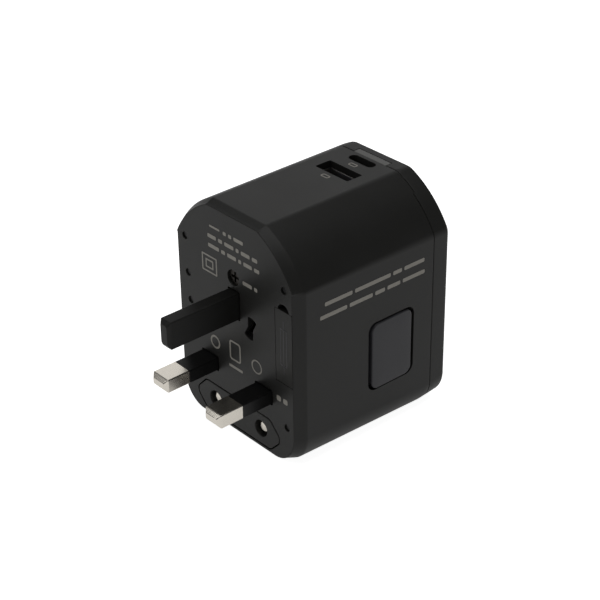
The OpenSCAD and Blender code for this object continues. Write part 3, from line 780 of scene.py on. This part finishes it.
sign = [flat_piece("sign", sign_box(1.3 * mm, 5.5 * mm, 0.3 * mm),
                   [sign_box(1.3 * mm - line, 5.5 * mm - line, 0.1 * mm)], *sign_y, 0.01 * mm, 0)]
for z0, z1 in ((-8.0, -5.53), (-5.17, 5.17), (5.53, 8.0)):
    sign.append(block((sign_x - line / 2, sign_x + line / 2), sign_y, (sign_z + z0 * mm, sign_z + z1 * mm),
                      0.05 * mm))
fuse_sign = join("raised_fuse_sign", sign)
fuse_sign.data.materials.append(satin_grey)
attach(fuse_sign, "drawer")


def glass(name, tint):
    """Clear fuse glass, faintly tinted, with slow waves of gloss along the drawn tube."""
    mat = finish(name, tint, [min(1.0, c * 1.05) for c in tint], 0.10, 2.0, 0.002, 60.0)
    shader = mat.node_tree.nodes["Principled BSDF"]
    shader.inputs["Transmission Weight"].default_value = 0.85
    return mat


fuse_glass = glass("fuse_glass", (0.82, 0.86, 0.84))


def fuse_pieces(node, body, axis):
    """A glass tube, two nickel caps and a wire along its middle, built on the CAD fuse's box."""
    lo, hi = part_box(node)
    mid = (lo + hi) / 2
    a, b = (lo.x, hi.x) if axis == 0 else (lo.z, hi.z)
    r, cap, round_end = 2.5 * mm, 4.6 * mm, 0.35 * mm
    metal = []
    for end, way in ((a, 1), (b, -1)):
        profile = [(end, r - round_end), (end + way * 0.1 * mm, r - 0.1 * mm), (end + way * round_end, r),
                   (end + way * (cap - 0.1 * mm), r), (end + way * cap, r - 0.12 * mm)]
        metal.append(turned("cap", profile, mid, axis, 40))
    metal.append(turned("wire", [(a + cap, 0.15 * mm), (b - cap, 0.15 * mm)], mid, axis, 40))
    metal = join(node + "_caps", metal)
    metal.data.shade_smooth()
    metal.data.materials.append(nickel)
    tube_r = r - 0.16 * mm
    tube = turned(node + "_tube", [(a + cap - 0.3 * mm, tube_r), (b - cap + 0.3 * mm, tube_r)], mid, axis, 40)
    tube.data.shade_smooth()
    tube.data.materials.append(fuse_glass)
    for piece in (metal, tube):
        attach(piece, body)
    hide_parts(node)


fuse_pieces("spare_fuse", "drawer", 2)
fuse_pieces("main_fuse", "housing", 0)

# ---- Sliders ----
# Each plug set rides on a black nylon carriage, pushed by a ribbed knob on the side away from the button.
# Brass wipers on the carriages press on the rails.
brass = finish("bare_brass_strip", (0.60, 0.42, 0.17), (0.76, 0.56, 0.26), 0.30, 0.35, 0.004, 240.0,
               (1.0, 0.3, 1.0), Metallic=1.0)
for plug in ("uk", "eu", "us"):
    rounded(plug + "_knob", plug + "_slider_knob", 0.16 * mm, satin_grey, 3)
    rounded(plug + "_carriage", plug + "_slider", 0.15 * mm, smooth_black)
for plug in ("uk", "eu"):
    rounded(plug + "_wipers", plug + "_wiper_pair", 0.05 * mm, brass)

# ---- Inner frame and contacts ----
# A moulded bulkhead carries the contact block. Folded brass clips grip the plug that is put in behind,
# and two brass rails lead from them to the sliders.
rounded("chassis", "inner_chassis", 0.15 * mm, smooth_black)
rounded("contact_block", "socket_block", 0.15 * mm, smooth_black)
for node, name in (("contact_live", "live_clip"), ("contact_neutral", "neutral_clip"),
                   ("rail_live", "live_rail"), ("rail_neutral", "neutral_rail"),
                   ("fuse_clips", "fuse_holder")):
    rounded(node, name, 0.06 * mm, brass)

# ---- Charging board ----
# A green lacquered board with a small ferrite transformer, two capacitors, a fuse and a lamp.
def traced_board(name):
    """Green lacquer over copper tracks: a brick pattern of thin lines lightens the lacquer."""
    mat = finish(name, (0.008, 0.060, 0.022), (0.014, 0.085, 0.032), 0.28, 0.5, 0.003, 300.0)
    t = mat.node_tree
    shader = t.nodes["Principled BSDF"]
    mix = next(n for n in t.nodes if n.type == "MIX")
    coords = next(n for n in t.nodes if n.type == "TEX_COORD")
    tracks = t.nodes.new("ShaderNodeTexBrick")
    tracks.inputs["Scale"].default_value = 300.0
    tracks.inputs["Mortar Size"].default_value = 0.03
    tracks.inputs["Color1"].default_value = (1, 1, 1, 1)
    tracks.inputs["Color2"].default_value = (1, 1, 1, 1)
    tracks.inputs["Mortar"].default_value = (2.6, 2.2, 1.6, 1)
    t.links.new(coords.outputs["Object"], tracks.inputs["Vector"])
    both = t.nodes.new("ShaderNodeMix")
    both.data_type = "RGBA"
    both.blend_type = "MULTIPLY"
    both.inputs["Factor"].default_value = 1.0
    t.links.new(mix.outputs["Result"], both.inputs["A"])
    t.links.new(tracks.outputs["Color"], both.inputs["B"])
    t.links.new(both.outputs["Result"], shader.inputs["Base Color"])
    return mat


rounded("usb_board", "charging_board", 0.08 * mm, traced_board("lacquered_board"))
ferrite = finish("sintered_ferrite", (0.020, 0.020, 0.021), (0.045, 0.044, 0.045), 0.55, 0.25, 0.02, 260.0)
rounded("transformer_core", "ferrite_core", 0.2 * mm, ferrite)
tape = finish("winding_tape", (0.45, 0.28, 0.03), (0.66, 0.45, 0.07), 0.32, 0.9, 0.02, 160.0, (0.2, 1.0, 6.0))
rounded("transformer_winding", "tape_winding", 0.3 * mm, tape, 3)
shrink = finish("capacitor_sleeve", (0.010, 0.018, 0.060), (0.020, 0.032, 0.095), 0.26, 1.2, 0.004, 90.0)
rounded("filter_capacitors", "capacitor_pair", 0.45 * mm, shrink, 4)
lamp_epoxy = finish("lamp_epoxy", (0.30, 0.42, 0.75), (0.42, 0.55, 0.88), 0.12, 1.0, 0.002, 120.0,
                    Transmission_Weight=0.5)
rounded("indicator_led", "indicator_lamp", 0.3 * mm, lamp_epoxy, 3)

# ---- Socket shutter ----
# A grey plate behind the socket slots. A spring holds it down over them until both pins lift it.
rounded("shutter", "socket_shutter", 0.2 * mm, satin_grey)
rise_lo, rise_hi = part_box("shutter_spring")
shutter_coil = helix("shutter_coil", (0, (rise_lo.y + rise_hi.y) / 2, rise_lo.z), 2, 1.05 * mm, 0.4 * mm, 8,
                     rise_hi.z - rise_lo.z)
shutter_coil.data.materials.append(spring_steel)
stand_for(shutter_coil, "shutter_spring", body="housing")
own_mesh(shutter_coil)

# ---- Printed signs ----
# Warm grey pad print, kept plain: rows of bars where lines of small print go, and a few plain outlines.
ink = finish("warm_grey_ink", (0.20, 0.19, 0.165), (0.27, 0.255, 0.225), 0.6, 0.25, 0.004, 900.0)
ink_deep = 0.012 * mm


def ink_piece(name, loops, axis, level, out):
    """Flat ink on a face: each loop is (outline, holes) in the face's own two directions.

    The level is one number, or a function of the first direction where the face leans.
    """
    made = []
    for outer, inner in loops:
        mesh, co = filled(name, [outer] + inner, ink_deep)
        a, b, c = co.T
        flat = (level(a) if callable(level) else level) + out * c
        placed = {0: (flat, a, b), 1: (a, flat, b), 2: (a, b, flat)}[axis]
        mesh.vertices.foreach_set("co", np.stack(placed, 1).ravel())
        obj = bpy.data.objects.new("ink", mesh)
        bpy.context.scene.collection.objects.link(obj)
        made.append(obj)
    piece = join(name, made)
    face_out(piece)
    piece.data.materials.append(ink)
    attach(piece, "housing")
    return piece


def line_of_bars(a0, a1, b, high, words):
    """A line of small print as plain bars: words are the shares of the line that each bar takes."""
    gap = 0.9 * mm
    room = (a1 - a0) - gap * (len(words) - 1)
    edges = a0 + np.cumsum([0] + [w / sum(words) * room + gap for w in words])
    return [(round_box(start, end - gap, b - high / 2, b + high / 2, high * 0.3), [])
            for start, end in zip(edges, edges[1:])]


def frame_box(a0, a1, b0, b1, line, r):
    """A rectangular outline of even line width."""
    inner = round_box(a0 + line, a1 - line, b0 + line, b1 - line, r * 0.6)
    return (round_box(a0, a1, b0, b1, r), [inner[::-1]])


def ring_mark(a, b, r, line):
    """A round outline of even line width."""
    return (arc(a, b, r, 0, 352.5, 48), [arc(a, b, r - line, 0, 352.5, 48)[::-1]])


# The plate's lines of bars: both ends, height above the pin line and bar height in mm, and the words.
plate_loops = []
for x0, x1, z, high, words in ((-9.1, -5.0, 41.6, 0.55, (1,)), (-3.6, 4.4, 41.5, 1.0, (1, 1, 3)),
                               (-10.0, 9.9, 38.6, 1.1, (3, 1.4, 3.2, 1, 3, 1.8)),
                               (-9.9, 10.6, 35.8, 1.1, (4, 1.4, 3.2, 1, 3, 1.8)),
                               (3.8, 9.6, 30.1, 1.1, (3, 1))):
    plate_loops += line_of_bars(x0 * mm, x1 * mm, pin_z + z * mm, high * mm, words)
plate_loops += line_of_bars(-3.0 * mm, 2.6 * mm, pin_z + 2.3 * mm, 0.8 * mm, (1,))
plate_loops += line_of_bars(16.3 * mm, 20.6 * mm, pin_z + 1.4 * mm, 1.6 * mm, (1, 1))
plate_loops += [frame_box(-12.8 * mm, -6.6 * mm, pin_z + 27.4 * mm, pin_z + 32.6 * mm, 0.45 * mm, 0.3 * mm),
                frame_box(-11.3 * mm, -8.1 * mm, pin_z + 28.7 * mm, pin_z + 31.3 * mm, 0.45 * mm, 0.2 * mm),
                frame_box(-2.6 * mm, 2.0 * mm, pin_z + 4.4 * mm, pin_z + 10.4 * mm, 0.5 * mm, 0.9 * mm),
                ring_mark(-8.6 * mm, pin_z + 6.7 * mm, 2.0 * mm, 0.55 * mm),
                ring_mark(8.5 * mm, pin_z + 6.8 * mm, 2.1 * mm, 0.45 * mm)]
ink_piece("plate_print", plate_loops, 1, face_y, -1)
bar_high = 1.15 * mm
side_loops = []
for y0, y1, z, words in ((9.0, 43.8, 29.3, (9, 12, 3, 7)), (7.4, 44.0, 25.8, (8, 7, 3, 4, 7))):
    side_loops += line_of_bars(face_y + y0 * mm, face_y + y1 * mm, pin_z + z * mm, bar_high, words)
ink_piece("side_print", side_loops, 0, lambda y: half_w + flare * way_back(y), 1)
top_loops = [frame_box(-1.4 * mm, 1.4 * mm, face_y + y * mm, face_y + (y + 1.5) * mm, 0.35 * mm, 0.5 * mm)
             for y in (31.2, 41.0)]
ink_piece("port_print", top_loops, 2, top_z, 1)

# ---- Floor and light ----
# A pale seamless floor under a white backdrop. A broad lamp hangs overhead, a weak one behind skims the
# top, and a small one in front on the left lights the plug face.
reach = 4.0
floor_x, floor_y = np.meshgrid([-reach, reach], [-reach, reach])
floor = grid_mesh("floor", np.stack([floor_x, floor_y, 0 * floor_x], 2), around=False)
floor_mat = bpy.data.materials.new("pale_floor")
floor_mat.use_nodes = True
floor_shader = floor_mat.node_tree.nodes["Principled BSDF"]
floor_shader.inputs["Base Color"].default_value = (0.75, 0.75, 0.75, 1)
floor_shader.inputs["Roughness"].default_value = 0.9
floor_shader.inputs["Emission Color"].default_value = (1, 1, 1, 1)
world = bpy.data.worlds.new("studio")
bpy.context.scene.world = world
world.use_nodes = True
sky = world.node_tree
backdrop = sky.nodes["Background"]
backdrop.inputs["Color"].default_value = (1, 1, 1, 1)


def by_ray(tree, socket, others, camera_level):
    """Gives a strength one level for camera rays, and another for the light that falls on the object."""
    seen = tree.nodes.new("ShaderNodeLightPath")
    level = tree.nodes.new("ShaderNodeMapRange")
    level.inputs["To Min"].default_value = others
    level.inputs["To Max"].default_value = camera_level
    tree.links.new(seen.outputs["Is Camera Ray"], level.inputs["Value"])
    tree.links.new(level.outputs["Result"], socket)


by_ray(sky, backdrop.inputs["Strength"], 0.12, 1.0)
by_ray(floor_mat.node_tree, floor_shader.inputs["Emission Strength"], 0.42, 0.93)
floor.data.materials.append(floor_mat)


def soft_lamp(name, where, target, size, power):
    """A square soft box pointed at a place on the object."""
    data = bpy.data.lights.new(name, "AREA")
    data.shape = "SQUARE"
    data.size = size
    data.energy = power
    lamp = bpy.data.objects.new(name, data)
    lamp.location = where
    lamp.rotation_euler = (Vector(target) - Vector(where)).to_track_quat("-Z", "Y").to_euler()
    bpy.context.scene.collection.objects.link(lamp)


soft_lamp("lamp_top", (0.05, 0.0, 1.1), (0, 0, 0.03), 0.9, 4.7)
soft_lamp("lamp_back", (-0.75, 0.65, 0.55), (0, 0, 0.05), 0.6, 0.9)
soft_lamp("lamp_front", (-0.55, -0.95, 0.75), (0, 0, 0.03), 0.5, 1.9)
bpy.context.scene.view_settings.view_transform = "Standard"
